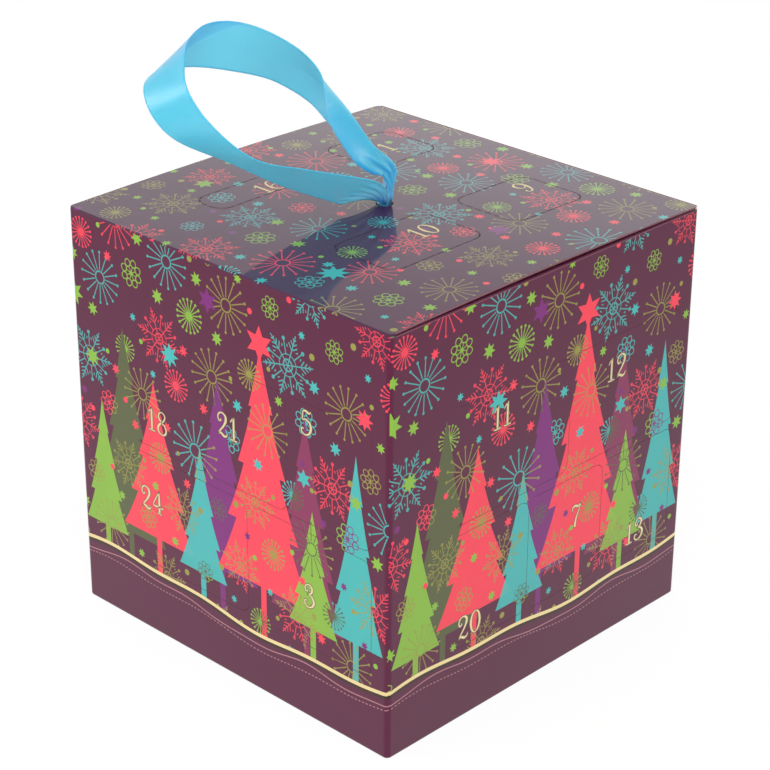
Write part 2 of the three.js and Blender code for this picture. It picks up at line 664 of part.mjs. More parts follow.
cube.add(namedMesh('core_sleeve', coreSleeve(), plainBoard));
cube.add(namedMesh('top_deck', topDeck(), plainBoard));
cube.add(namedMesh('ribbon_loop', ribbonLoop(), satin));
cube.add(namedMesh('ribbon_knot', ribbonKnot(), satin));

export default cube;
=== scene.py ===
from functools import partialmethod
from itertools import product
from math import cos, exp, pi, radians, sin, sqrt

import bmesh
import bpy
from bpy.props import FloatProperty, FloatVectorProperty, PointerProperty
from mathutils import Matrix, Vector


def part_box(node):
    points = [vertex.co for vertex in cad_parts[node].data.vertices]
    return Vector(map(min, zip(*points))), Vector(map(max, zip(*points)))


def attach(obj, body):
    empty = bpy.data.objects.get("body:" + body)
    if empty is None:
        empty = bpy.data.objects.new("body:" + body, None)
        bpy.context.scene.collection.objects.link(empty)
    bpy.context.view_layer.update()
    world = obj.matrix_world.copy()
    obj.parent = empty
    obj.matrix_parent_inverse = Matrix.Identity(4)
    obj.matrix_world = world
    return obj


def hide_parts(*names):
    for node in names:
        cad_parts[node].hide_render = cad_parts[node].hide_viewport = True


bl_info = {
    "name": "Advent calendar cube",
    "version": (1, 0, 0),
    "blender": (4, 5, 0),
    "location": "3D View > Sidebar > Calendar",
    "description": "Printed carton with 24 numbered doors and a ribbon handle",
    "category": "Object",
}

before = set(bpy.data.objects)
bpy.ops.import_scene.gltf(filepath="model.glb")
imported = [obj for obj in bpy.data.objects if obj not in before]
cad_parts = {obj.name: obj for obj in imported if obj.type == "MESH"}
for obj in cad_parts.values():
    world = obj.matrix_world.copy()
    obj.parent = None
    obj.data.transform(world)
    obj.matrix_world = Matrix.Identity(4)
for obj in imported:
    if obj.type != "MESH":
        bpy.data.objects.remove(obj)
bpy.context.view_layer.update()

MM = 0.001
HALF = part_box("wall_right")[1].x
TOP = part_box("wall_front")[1].z
BOARD = 0.8 * MM
RIBBON_EXIT = Vector((0, 0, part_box("lid_panel")[1].z))
UP = Vector((0, 0, 1))


def ink(red, green, blue):
    """A colour written in 0 to 255, as the linear values that a shader takes"""
    shares = [value / 255 for value in (red, green, blue)]
    return [s / 12.92 if s <= 0.04045 else ((s + 0.055) / 1.055) ** 2.4 for s in shares]


def colour(name, description, *value):
    return FloatVectorProperty(
        name=name, description=description, subtype="COLOR", min=0, max=1,
        default=ink(*value),
    )


def length(name, description, millimetres):
    return FloatProperty(
        name=name, description=description, subtype="DISTANCE", unit="LENGTH", min=0,
        default=millimetres * MM,
    )


def share(name, description, value):
    return FloatProperty(
        name=name, description=description, subtype="FACTOR", min=0, max=1, default=value
    )


def power(name, description, watts):
    return FloatProperty(name=name, description=description, unit="POWER", min=0, default=watts)


# Sizes and colours that a user would change
class PrintLook(bpy.types.PropertyGroup):
    """Inks, foil and varnish of the printed board"""

    ground: colour("Ground", "Plum ground of the sides", 86, 16, 54)
    # The lid's plum is the sides' plum made darker and cooler: painted light, the cooler light
    # that falls on the top
    lid_ground: colour("Lid ground", "Plum ground of the lid, printed a little cooler", 72, 14, 58)
    coral: colour("Coral", "Coral ink of the tall trees", 247, 62, 82)
    teal: colour("Teal", "Teal ink of trees and flakes", 62, 180, 176)
    lime: colour("Lime", "Lime ink of trees and stars", 134, 182, 58)
    purple: colour("Purple", "Purple ink of the back trees", 122, 28, 116)
    olive: colour("Olive", "Olive ink of the back trees", 84, 92, 52)
    maroon: colour("Maroon", "Maroon ink of the back trees", 134, 40, 84)
    gold: colour("Gold", "Foil of the wavy line", 244, 222, 160)
    shadow_line: colour("Line shade", "Dark line under the foil", 52, 30, 16)
    copper: colour("Copper", "Thin wavy line and stitches under the foil", 176, 120, 128)
    old_gold: colour("Old gold", "Dull gold ink of some flakes", 150, 146, 62)
    varnish: share("Varnish", "Weight of the gloss varnish", 1.0)
    roughness: share("Roughness", "Roughness of the inks below the varnish", 0.42)


class CardLook(bpy.types.PropertyGroup):
    """Uncoated board inside the carton, and its cut edges"""

    inside: colour("Inside", "Uncoated inner side of the printed board", 214, 206, 192)
    card: colour("Card", "White card of trays, deck and pockets", 232, 230, 224)
    # Cut edge: a dark plum for the raw edges of the printed board
    edge: colour("Cut edge", "Raw edges of the printed board, stained by the ink", 118, 66, 82)


class NumberLook(bpy.types.PropertyGroup):
    """Gold foil numbers on the doors"""

    height: length("Height", "Height of one figure", 11.5)
    proud: length("Foil", "Height of the foil above the print", 0.04)
    outline: length("Outline", "Dark line round each stroke", 0.32)
    foil: colour("Foil", "Foil of the figures", 240, 222, 168)
    rim: colour("Rim", "Dark line round the figures", 58, 28, 22)


class RibbonLook(bpy.types.PropertyGroup):
    """Satin ribbon handle and its knot"""

    width: length("Width", "Width of the ribbon", 25)
    thickness: length("Thickness", "Thickness of the ribbon", 0.35)
    gathered: length("Gathered", "Width of the ribbon inside the hole", 5)
    reach: length("Reach", "Length that the loop's shape is drawn to", 100)
    satin: colour("Satin", "Colour of the satin face", 54, 190, 255)
    # Shade colours the streaks and the woven edge, and is also the painted shade beside the stored
    # crease
    shade: colour("Shade", "Colour between the threads and in the folds", 44, 150, 218)
    thread: length("Thread", "Distance between two threads", 0.4)


class StudioLook(bpy.types.PropertyGroup):
    """Floor, lamps and background"""

    floor: colour("Floor", "Colour of the floor", 251, 251, 251)
    daylight: share("Daylight", "Light from all round", 0.7)
    key: power("Key lamp", "Power of the left lamp", 15)
    front: power("Front lamp", "Power of the lamp over the camera", 8)
    fill: power("Fill lamp", "Power of the right lamp", 6)


# Sockets of a Mix node that mixes colours
MIX_SHARE, MIX_UNDER, MIX_OVER, MIXED = 0, 6, 7, 2


# Shader maths
class Wire:
    """An output socket of a node tree, whose arithmetic adds Math nodes to it"""

    def __init__(self, tree, socket=None):
        self.tree = tree
        self.socket = socket

    def node(self, kind, values=(), output=0, steps=(), **settings):
        """A new node: its settings or colour steps first, then what its sockets take"""
        made = self.tree.nodes.new(kind)
        for name, value in settings.items():
            setattr(made, name, value)
        for index, (place, tint) in enumerate(steps):
            made.color_ramp.interpolation = "CONSTANT"
            stops = made.color_ramp.elements
            stop = stops[index] if index < 2 else stops.new(place)
            stop.position, stop.color = place, tint
        for name, value in values.items() if isinstance(values, dict) else enumerate(values):
            if isinstance(value, Wire):
                self.tree.links.new(value.socket, made.inputs[name])
            else:
                made.inputs[name].default_value = value
        return Wire(self.tree, made.outputs[output] if made.outputs else None)

    def output(self, name):
        """Another output of the same node"""
        return Wire(self.tree, self.socket.node.outputs[name])

    def math(self, operation, *others):
        """A Math node with this wire as its first value"""
        return self.node("ShaderNodeMath", (self, *others), operation=operation)

    def vector(self, operation, *others):
        """A Vector Math node with this wire as its first value"""
        made = self.node("ShaderNodeVectorMath", (self, *others), operation=operation)
        return made.output("Value") if operation in ("DOT_PRODUCT", "LENGTH") else made

    def ramp(self, start, end, low=0.0, high=1.0, kind="SMOOTHSTEP"):
        """This wire from one range to another, held at both ends"""
        values = (self, start, end, low, high)
        return self.node("ShaderNodeMapRange", values, interpolation_type=kind)

    def mix(self, under, over):
        """A colour between two others, with this wire as its factor"""
        sockets = {MIX_SHARE: self, MIX_UNDER: under, MIX_OVER: over}
        return self.node("ShaderNodeMix", sockets, MIXED, data_type="RGBA")

    def parts(self):
        """The x, y and z values of a vector"""
        apart = self.node("ShaderNodeSeparateXYZ", [self])
        return [apart.output(axis) for axis in "XYZ"]

    def __rsub__(self, other):
        return self.node("ShaderNodeMath", (other, self), operation="SUBTRACT")

    __add__ = __radd__ = partialmethod(math, "ADD")
    __sub__ = partialmethod(math, "SUBTRACT")
    __mul__ = __rmul__ = partialmethod(math, "MULTIPLY")
    __truediv__ = partialmethod(math, "DIVIDE")
    __lt__ = partialmethod(math, "LESS_THAN")
    __gt__ = partialmethod(math, "GREATER_THAN")
    __or__ = partialmethod(math, "MAXIMUM")
    __abs__ = partialmethod(math, "ABSOLUTE")


def rgba(tint, strength=1):
    """A colour with its alpha, made darker or lighter"""
    return (*(value * strength for value in tint), 1)


def new_material(name):
    """An empty material, and a wire to build its nodes with"""
    material = bpy.data.materials.new(name)
    material.use_nodes = True
    material.node_tree.nodes.clear()
    return material, Wire(material.node_tree)


def finish_material(wire, fixed, varying):
    """The shader with its fixed values and its varying inputs, and the output"""
    surface = wire.node("ShaderNodeBsdfPrincipled", {**fixed, **varying})
    wire.node("ShaderNodeOutputMaterial", [surface])


def bump(height, strength, distance):
    values = {"Strength": strength, "Distance": distance, "Height": height}
    return height.node("ShaderNodeBump", values)


def noise(place, scale, detail):
    values = {"Vector": place, "Scale": scale, "Detail": detail}
    return place.node("ShaderNodeTexNoise", values)


def object_place(wire):
    """Place in the object's own coordinates"""
    return wire.node("ShaderNodeTexCoord").output("Object")


# Faces of the cube, each with the way its print reads, the way up and the way out
class Face:
    def __init__(self, along, up, out):
        self.along, self.up, self.out = Vector(along), Vector(up), Vector(out)
        self.corner = (self.out - self.along) * HALF


FACES = {
    "front": Face((1, 0, 0), UP, (0, -1, 0)),
    "right": Face((0, 1, 0), UP, (1, 0, 0)),
    "back": Face((-1, 0, 0), UP, (0, 1, 0)),
    "left": Face((0, -1, 0), UP, (-1, 0, 0)),
    "lid": Face((0, 1, 0), (-1, 0, 0), UP),
}
FACES["lid"].corner = Vector((HALF, -HALF, TOP + BOARD))
SIDES = ("front", "right", "back", "left")


# Print: places in millimetres from the lower left corner of a face
TREES = [
    ("olive", 34, 47, 104, 23),
    ("purple", 97, 52, 96, 22),
    ("maroon", 151, 49, 98, 21),
    ("coral", 54, 51, 80, 23),
    ("teal", 84, 45, 64, 15),
    ("coral", 124, 54, 116, 28),
    ("lime", 17, 44, 66, 14),
    ("teal", 181, 50, 90, 15),
    ("lime", 155, 46, 58, 14),
]
SIDE_STARS = [
    ("coral", 124, 172, 8.5, 6),
    ("teal", 66, 148, 6, 8),
    ("lime", 12, 130, 5, 8),
    ("lime", 1, 159, 6.5, 7),
    ("coral", 186, 158, 5, 8),
    ("purple", 92, 182, 6, 6),
    ("teal", 150, 118, 4.5, 6),
]
LID_STARS = [
    ("teal", 28, 60, 7.5, 8),
    ("purple", 112, 42, 6, 6),
    ("coral", 176, 104, 6, 8),
    ("lime", 60, 176, 5, 6),
]
TIERS = 4
CELL = 38.0

# Motifs of the scattered print: reach and width of the lines
FLAKE, BURST, FLOWER, DAISY = (15.5, 0.56), (14, 0.62), (7.2, 0.55), (8, 0.58)
SMALL_STAR, DOT = 3.9, 1.1

# Dashed lines of painted shade round the doors of the lid, where the cuts lie in shadow
DASH_PITCH, DASH_SHARE = 5.5, 0.74
DOOR_CORNER = 7.0
CUT_HALF_WIDTH = 0.34

# Foil line over the plain band, and the lines under it, below its middle
FOIL_LINE_HEIGHT, FOIL_HALF_WIDTH = 31.5, 0.9
SHADOW_DEPTH, SHADOW_HALF_WIDTH = 1.5, 0.95
RIPPLE_DEPTH, RIPPLE_HALF_WIDTH = 5.2, 0.28
STITCH_DEPTH, STITCH_HALF_WIDTH = 8.2, 0.24
STITCH_PITCH, STITCH_SHARE = 2.2, 0.55


def fir(plane, across, base, height, reach):
    """Mask of a fir with tiers and a trunk"""
    scaled = plane.vector(
        "MULTIPLY_ADD", (1 / reach, 1 / height, 0), (-across / reach, -base / height, 0)
    )
    aside, rise, _ = scaled.parts()
    aside = abs(aside)
    tier = (rise * TIERS).math("FRACT")
    crown = (aside < (1 - rise) * (1.06 - tier * 0.26)) * (rise > 0)
    trunk = (aside < 1.7 / reach) * (rise < 0.02) * (rise > -0.4)
    return crown | trunk


def lattice(plane, turn, shift, jitter):
    """Distance and angle from the middle of a point's own cell, and the cell's random values"""
    values = {"Vector": plane, "Angle": turn}
    spun = plane.node("ShaderNodeVectorRotate", values, rotation_type="Z_AXIS")
    grid = spun.vector("MULTIPLY_ADD", (1 / CELL, 1 / CELL, 0), (*shift, 0))
    number = grid.vector("FLOOR")
    chance = number.node("ShaderNodeTexWhiteNoise", [number], noise_dimensions="2D")
    chance = chance.output("Color")
    inside = grid.vector("FRACTION")
    local = inside.vector("MULTIPLY_ADD", (CELL, CELL, 0), (-CELL / 2, -CELL / 2, 0))
    moved = chance.vector("MULTIPLY_ADD", (-jitter, -jitter, 0), (jitter / 2, jitter / 2, 0))
    local = local.vector("ADD", moved)
    kinds, _, sizes = chance.parts()
    distance = local.vector("LENGTH")
    across, upward, _ = local.parts()
    angle = upward.math("ARCTAN2", across) + kinds
    return distance, angle, kinds, sizes


def sector(angle, arms):
    """The angle folded to half of one of the equal arms"""
    return angle.math("PINGPONG", pi / arms)


def crystal(distance, angle, reach, line):
    """Snow crystal: six leafed arms, six dotted rays between them and a netted middle"""
    folded = sector(angle, 6)
    along = distance * folded.math("COSINE")
    aside = distance * folded.math("SINE")
    pitch = reach * 0.16
    leaf = ((along - aside) / pitch).math("FRACT")
    leaves = (leaf < line * 1.5 / pitch) * (aside < (reach - along) * 0.55)
    mask = ((aside < line / 2) * (distance < reach)) | (leaves * (along > reach * 0.52))
    between = pi / 6 - folded
    ray = distance * between.math("SINE")
    end = distance - reach * 0.78
    rays = (ray < line / 2) * (end < 0) * (distance > reach * 0.3)
    mask = mask | rays | ((end * end + ray * ray) < (line * 1.7) ** 2)
    net = (distance / (reach * 0.085)).math("PINGPONG", 1)
    return mask | ((net < 0.3) * (distance < reach * 0.34))


def burst(distance, angle, reach, line, arms, core=0.0):
    """Ring with rays that end in dots, round a solid core where it has one"""
    aside = distance * sector(angle, arms)
    rays = (aside < line / 2) * (distance > reach * 0.3) * (distance < reach)
    end = distance - reach
    dots = (end * end + aside * aside) < (line * 1.25) ** 2
    ring = abs(distance - reach * 0.24) < line * 0.7
    return rays | dots | ring | (distance < reach * core)


def rosette(distance, angle, reach, line):
    """Flower of eight loops round a dot"""
    aside = distance * sector(angle, 8)
    end = distance - reach * 0.7
    loop = (end * end + aside * aside).math("SQRT")
    petals = abs(loop - reach * 0.24) < line / 2
    stalks = (aside < line * 0.4) * (distance < reach * 0.5)
    return petals | stalks | (distance < reach * 0.16)


def star(distance, angle, reach, points):
    """Solid star"""
    folded = sector(angle, points)
    valley = reach * 0.5
    half = pi / points
    normal = (valley * sin(half), reach - valley * cos(half))
    along = distance * folded.math("COSINE")
    aside = distance * folded.math("SINE")
    return along * normal[0] + aside * normal[1] < reach * normal[0]


def placed_star(plane, across, height, reach, points):
    """Solid star round one place"""
    local = plane.vector("SUBTRACT", (across, height, 0))
    distance = local.vector("LENGTH")
    sideways, upward, _ = local.parts()
    angle = sideways.math("ARCTAN2", upward)
    return star(distance, angle, reach, points)


def pick(chance, tints):
    """One of several colours in equal shares, by a random value"""
    steps = [(index / len(tints), rgba(tint)) for index, tint in enumerate(tints)]
    return chance.node("ShaderNodeValToRGB", [chance], steps=steps)


def inks(chance, tints, trees, tints_on_trees):
    """Random inks of the motifs, with others where they cross the trees"""
    free = pick(chance, tints)
    return trees.mix(free, pick(chance, tints_on_trees)) if trees else free


def scattered(plane, tint, look, turn, trees):
    """Flakes, flowers, stars and dots over a colour"""
    coral, teal, lime = look.coral, look.teal, look.lime
    gold, purple, olive = look.old_gold, look.purple, look.olive
    distance, angle, chance, size = lattice(plane, turn, (0.31, 0.12), 6)
    distance = distance * (1 + size * 0.25)
    kinds = chance > 0.5
    flakes = crystal(distance, angle, *FLAKE)
    bursts = burst(distance, angle, *BURST, 16)
    mask = flakes * kinds + bursts * (1 - kinds)
    hue = inks(size, [teal, coral, gold, teal, gold, coral], trees, [gold, olive, gold])
    tint = (mask * 0.8).mix(tint, hue)

    distance, angle, chance, size = lattice(plane, turn, (0.81, 0.62), 6)
    distance = distance * (1 + chance * 0.35)
    kinds = size > 0.5
    flowers = rosette(distance, angle, *FLOWER)
    daisies = burst(distance, angle, *DAISY, 18, 0.2)
    mask = flowers * kinds + daisies * (1 - kinds)
    hue = inks(chance, [lime, teal, coral, gold, teal, lime], trees, [purple, gold, olive])
    tint = (mask * 0.9).mix(tint, hue)

    for shift in ((0.31, 0.62), (0.81, 0.12)):
        distance, angle, chance, size = lattice(plane, turn, shift, 8)
        mask = star(distance * (1 + chance * 0.9), angle + size * 3, SMALL_STAR, 7)
        tint = mask.mix(tint, pick(chance, [lime, teal, coral, lime, purple, teal]))

    for shift in ((0.56, 0.37), (1.06, 0.87)):
        distance, angle, chance, size = lattice(plane, turn, shift, 4)
        mask = (distance < DOT + size * 0.5) * (chance > 0.4)
        tint = mask.mix(tint, pick(size, [gold, lime, coral, gold]))
    return tint


def cut_lines(plane, corner):
    """Mask of painted shade: dashed lines along the perforations of the lid's doors, where the
    cuts lie in shadow
    """
    across, upward, _ = plane.parts()
    dash = ((across + upward) / DASH_PITCH).math("FRACT") < DASH_SHARE
    lines = dash * 0
    for number in DOORS["lid"]:
        low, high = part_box(door_name(number))
        middle, half = ((low + high) / 2 - corner) / MM, (high - low) / 2 / MM
        middle = (middle.y, -middle.x, 0)
        reach = (half.y - DOOR_CORNER, half.x - DOOR_CORNER, 0)
        aside = plane.vector("SUBTRACT", middle).vector("ABSOLUTE")
        beyond = aside.vector("SUBTRACT", reach).vector("MAXIMUM", (0, 0, 0))
        rounded = beyond.vector("LENGTH") - DOOR_CORNER
        lines = lines | ((abs(rounded) < CUT_HALF_WIDTH) * dash)
    return lines


def foil_band(plane, tint, look):
    """Plain band at the bottom with the foil line and the stitches above it"""
    across, height, _ = plane.parts()
    turn = across * (pi / (HALF / MM))
    wave = (turn + 0.6).math("SINE") * 2.4 + (turn * 3).math("SINE") * 0.9
    over = height - FOIL_LINE_HEIGHT - wave
    tint = (over < 0).mix(tint, rgba(look.ground))
    tint = (abs(over + SHADOW_DEPTH) < SHADOW_HALF_WIDTH).mix(tint, rgba(look.shadow_line))
    foil = abs(over) < FOIL_HALF_WIDTH
    tint = foil.mix(tint, rgba(look.gold))
    ripple = (turn * 2 + 1.9).math("SINE") * 1.1 + (turn * 5).math("SINE") * 0.5
    below = over + RIPPLE_DEPTH + ripple
    tint = (abs(below) < RIPPLE_HALF_WIDTH).mix(tint, rgba(look.copper))
    dash = (across / STITCH_PITCH).math("FRACT") < STITCH_SHARE
    stitches = (abs(over + STITCH_DEPTH) < STITCH_HALF_WIDTH) * dash
    return stitches.mix(tint, rgba(look.copper)), foil


# Varnish of the sides and of the glossier lid, and the inks below it
SIDE_VARNISH_INDEX, LID_VARNISH_INDEX = 1.37, 1.5
GLOSS = {"Coat Roughness": 0.05, "IOR": 1.45, "Specular IOR Level": 0.06}
# How far a surface has to face outward to be printed, and inward to be plain
FACING = 0.3
FOLD_REACH = 3


def board_surface(coordinates, outward, printed, tint, clouds):
    """Varying inputs of printed board: print outside, plain fibres inside, dark plum cut edges"""
    scene = bpy.context.scene
    look, board = scene.calendar_print, scene.calendar_card
    fibres = noise(coordinates, 900, 3)
    grain = noise(coordinates, 45, 2)
    inner = (outward < -FACING).mix(rgba(board.edge), rgba(board.inside))
    inner = (fibres * 0.25).mix(inner, rgba(board.inside, 0.7))
    tint = (grain * clouds).mix(tint, rgba(look.ground, 0.6))
    return {
        "Base Color": printed.mix(inner, tint),
        "Roughness": 0.85 - printed * (0.85 - look.roughness),
        "Coat Weight": printed * look.varnish,
        "Normal": bump(fibres * (1.2 - printed) + grain * 2.5, 0.25, 0.00012),
    }


def printed_material(name, face, trees, stars, banded, varnish_index):
    """Print of one face on the outside, uncoated board on the inside and at the cuts"""
    look = bpy.context.scene.calendar_print
    material, wire = new_material(name)
    coordinates = object_place(wire)
    scale = 1 / MM
    across, upward = (
        coordinates.vector("DOT_PRODUCT", way * scale) - face.corner.dot(way) * scale
        for way in (face.along, face.up)
    )
    plane = wire.node("ShaderNodeCombineXYZ", (across, upward))
    # The lid's plum carries painted light: darker and cooler than the sides, for the light that
    # falls on the top
    tint = rgba(look.ground if banded else look.lid_ground)
    covered = None
    for hue, *place in trees:
        mask = fir(plane, *place)
        tint = (mask * 0.96).mix(tint, rgba(getattr(look, hue)))
        covered = covered | mask if covered else mask
    tint = scattered(plane, tint, look, 0.31 if banded else 1.2, covered)
    for hue, *place in stars:
        tint = placed_star(plane, *place).mix(tint, rgba(getattr(look, hue)))
    outward = coordinates.output("Normal").vector("DOT_PRODUCT", face.out)
    printed = outward > FACING
    if banded:
        tint, foil = foil_band(plane, tint, look)
    else:
        # Painted shade: the lid's plum darkened nearly to black along the dashed cut lines, which
        # also keep little varnish
        cut_shade = cut_lines(plane, face.corner)
        tint = (cut_shade * 0.8).mix(tint, rgba(look.lid_ground, 0.12))
        at_folds = abs(across - HALF * scale) > HALF * scale - FOLD_REACH
        printed = printed | (at_folds * (outward > -FACING))
    varying = board_surface(coordinates, outward, printed, tint, 0.1)
    if banded:
        varying["Metallic"] = foil * printed * 0.85
    else:
        varying["Coat Weight"] = printed * (1 - cut_shade * 0.9) * look.varnish
    finish_material(wire, {**GLOSS, "Coat IOR": varnish_index}, varying)
    return material


def flap_material(name, out):
    """Plum on the outer side of a flap and uncoated board on the inner one"""
    material, wire = new_material(name)
    coordinates = object_place(wire)
    outward = coordinates.output("Normal").vector("DOT_PRODUCT", out)
    plum = rgba(bpy.context.scene.calendar_print.ground)
    varying = board_surface(coordinates, outward, outward > FACING, plum, 0.3)
    finish_material(wire, {**GLOSS, "Coat IOR": SIDE_VARNISH_INDEX}, varying)
    return material


def card_material(name, tint):
    """Uncoated card: short fibres, faint flow of the pulp and a few specks"""
    material, wire = new_material(name)
    coordinates = object_place(wire)
    fibres = noise(coordinates, 1100, 4)
    stretched = coordinates.vector("MULTIPLY", (1, 1, 6))
    flow = noise(stretched, 60, 3)
    specks = wire.node("ShaderNodeTexVoronoi", {"Vector": coordinates, "Scale": 260})
    base = (flow * 0.3).mix(rgba(tint), rgba(tint, 0.86))
    base = (fibres * 0.25).mix(base, rgba(tint, 0.78))
    base = ((specks < 0.045) * 0.35).mix(base, rgba(tint, 0.45))
    finish_material(wire, {"Specular IOR Level": 0.35}, {
        "Base Color": base,
        "Roughness": 0.78 + fibres * 0.15,
        "Normal": bump(fibres + flow * 0.6, 0.35, 0.0001),
    })
    return material


def dress(material, slot_name, *nodes):
    """Give CAD nodes a material, in place of the ones they had; the slot name is not used"""
    for name in nodes:
        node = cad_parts[name]
        node.data.materials.clear()
        node.data.materials.append(material)


# Doors of each face, row by row, with the middle of each number on the face in millimetres
DOORS = {
    "front": {18: (56, 112), 21: (103, 126), 5: (152, 145), 24: (50, 70), 3: (153, 62)},
    "right": {11: (69, 141), 12: (146, 138), 20: (51, 46), 7: (122, 72), 13: (166, 47)},
    "back": {15: (74, 128), 2: (106, 140), 22: (166, 122), 6: (70, 54), 19: (150, 78)},
    "left": {14: (66, 118), 4: (158, 134), 23: (58, 76), 8: (112, 52), 17: (170, 68)},
    "lid": {16: (78, 152), 1: (155, 152), 10: (88, 65), 9: (160, 70)},
}

# Strokes of the figures: across, up and width at each point, in hundredths of their height
FIGURES = {
    "1": [
        [(6, 74, 3), (13, 84, 5), (24, 97, 6)],
        [(24, 98, 10), (24, 50, 10), (24, 3, 10)],
        [(5, 3, 4.5), (24, 2, 6), (43, 3, 4.5)],
    ],
    "2": [
        [(19, 72, 4), (20, 64, 5), (10, 62, 6), (4, 76, 6), (12, 93, 6), (30, 98, 6),
         (46, 88, 10), (47, 68, 11), (34, 44, 8), (16, 22, 6), (4, 5, 5)],
        [(4, 5, 5), (18, 12, 9), (36, 3, 10), (50, 6, 6), (55, 18, 3)],
    ],
    "3": [
        [(20, 76, 4), (19, 68, 5), (9, 69, 6), (7, 83, 6), (17, 96, 5), (33, 97, 7), (44, 84, 10),
         (39, 65, 8), (22, 56, 4)],
        [(22, 56, 4), (42, 50, 8), (53, 30, 11), (43, 8, 8), (22, 0, 5), (6, 10, 6), (6, 26, 6),
         (18, 26, 4)],
    ],
    "4": [
        [(40, 98, 5), (20, 66, 5), (2, 34, 5)],
        [(2, 34, 5), (14, 30, 7), (36, 33, 7), (58, 29, 5), (62, 38, 3)],
        [(40, 98, 6), (40, 50, 11), (40, 3, 10)],
        [(26, 2, 4.5), (40, 3, 6), (54, 2, 4.5)],
    ],
    "5": [
        [(54, 99, 3), (44, 92, 8), (28, 97, 9), (13, 94, 5)],
        [(13, 94, 5), (12, 74, 4.5), (9, 56, 4.5)],
        [(9, 56, 4.5), (26, 63, 6), (47, 54, 9), (54, 32, 11), (44, 9, 8), (24, 0, 5), (7, 7, 6),
         (5, 22, 6), (17, 24, 4)],
    ],
    "6": [
        [(43, 80, 4), (50, 84, 6), (46, 95, 5), (32, 98, 5), (15, 82, 8), (6, 50, 11),
         (9, 20, 10), (27, 1, 5), (46, 10, 9), (54, 30, 10), (44, 50, 6), (28, 56, 4),
         (12, 42, 4)],
    ],
    "7": [
        [(4, 76, 3), (6, 92, 6), (20, 98, 10), (38, 91, 9), (55, 98, 4)],
        [(55, 98, 4), (42, 70, 5), (28, 38, 8), (22, 3, 12)],
    ],
    "8": [
        [(30, 53, 7), (14, 66, 8), (11, 82, 7), (20, 95, 5), (33, 98, 4), (46, 90, 6),
         (47, 76, 6), (36, 60, 6), (18, 46, 9), (6, 28, 10), (10, 9, 8), (28, 1, 4), (46, 7, 8),
         (53, 24, 8), (46, 42, 6), (30, 53, 7)],
    ],
    "0": [
        [(30, 98, 4), (13, 84, 8), (5, 50, 11), (13, 16, 8), (30, 2, 4), (47, 16, 8),
         (55, 50, 11), (47, 84, 8), (30, 98, 4)],
    ],
}
FIGURES["9"] = [[(60 - x, 100 - y, width) for x, y, width in stroke] for stroke in FIGURES["6"]]
FIGURE_WIDTH, NARROW_FIGURE_WIDTH = 0.6, 0.48
FIGURE_GAP = 0.07
STROKE_STEPS = 6


def around(values, place):
    """The four values round a place along them, and its share of the way between the middle two"""
    padded = [2 * values[0] - values[1], *values, 2 * values[-1] - values[-2]]
    index = min(int(place), len(values) - 2)
    return padded[index:index + 4], place - index


def uniform(values, place):
    """A value along a smooth curve through evenly spaced ones"""
    (a, b, c, d), t = around(values, place)
    return (
        2 * b + (c - a) * t + (2 * a - 5 * b + 4 * c - d) * t ** 2
        + (3 * b - a - 3 * c + d) * t ** 3
    ) / 2


def in_hundredths(values):
    return Vector(values) / 100


def stroke_points(stroke):
    """Points of a smooth curve through those of a stroke, as shares of the figure's height"""
    points = [in_hundredths(point) for point in stroke]
    steps = STROKE_STEPS * (len(points) - 1)
    return [uniform(points, step / STROKE_STEPS) for step in range(steps + 1)]


def ways_along(points):
    """The way from the point before to the one after, at each point"""
    padded = [points[0], *points, points[-1]]
    return [(ahead - behind).normalized() for behind, ahead in zip(padded, padded[2:])]


def stroke_strip(mesh, points, to_world, extra, top, material_index):
    """A raised strip along a stroke"""
    rows = []
    ways = ways_along([point.xy for point in points])
    for index, (point, way) in enumerate(zip(points, ways)):
        side = Vector((-way.y, way.x)) * (point.z / 2 + extra)
        middle = point.xy + way * extra * ((index == len(points) - 1) - (index == 0))
        corners = ((side, 0), (side, top), (-side, top), (-side, 0))
        rows.append([mesh.verts.new(to_world(middle + aside, lift)) for aside, lift in corners])
    for row, following in zip(rows, rows[1:]):
        for place in range(3):
            corners = [row[place], row[place + 1], following[place + 1], following[place]]
            mesh.faces.new(corners).material_index = material_index
    for corners in (rows[0][::-1], rows[-1]):
        mesh.faces.new(corners).material_index = material_index


def new_object(name, data):
    """An object in the scene"""
    made = bpy.data.objects.new(name, data)
    bpy.context.scene.collection.objects.link(made)
    return made


def mesh_object(name, mesh, *materials):
    """An object in the scene, from mesh data"""
    data = bpy.data.meshes.new(name)
    mesh.to_mesh(data)
    mesh.free()
    for material in materials:
        data.materials.append(material)
    return new_object(name, data)


def new_piece(name, mesh, materials, body):
    """An object from mesh data, that rides on a body"""
    piece = mesh_object(name, mesh, *materials)
    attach(piece, body)
    return piece


# Bow of the lid, between its front and its back fold
LID_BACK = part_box("lid_panel")[1].y
LID_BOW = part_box("lid_panel")[1].z - TOP - BOARD


def rise_of_lid(place, face):
    """How far the bowed lid stands above the height of its folds"""
    if face is not FACES["lid"]:
        return 0
    run = (place.y + HALF) / (LID_BACK + HALF)
    return LID_BOW * sin(pi * min(max(run, 0), 1))


def door_name(number):
    return f"door_{number:02d}"


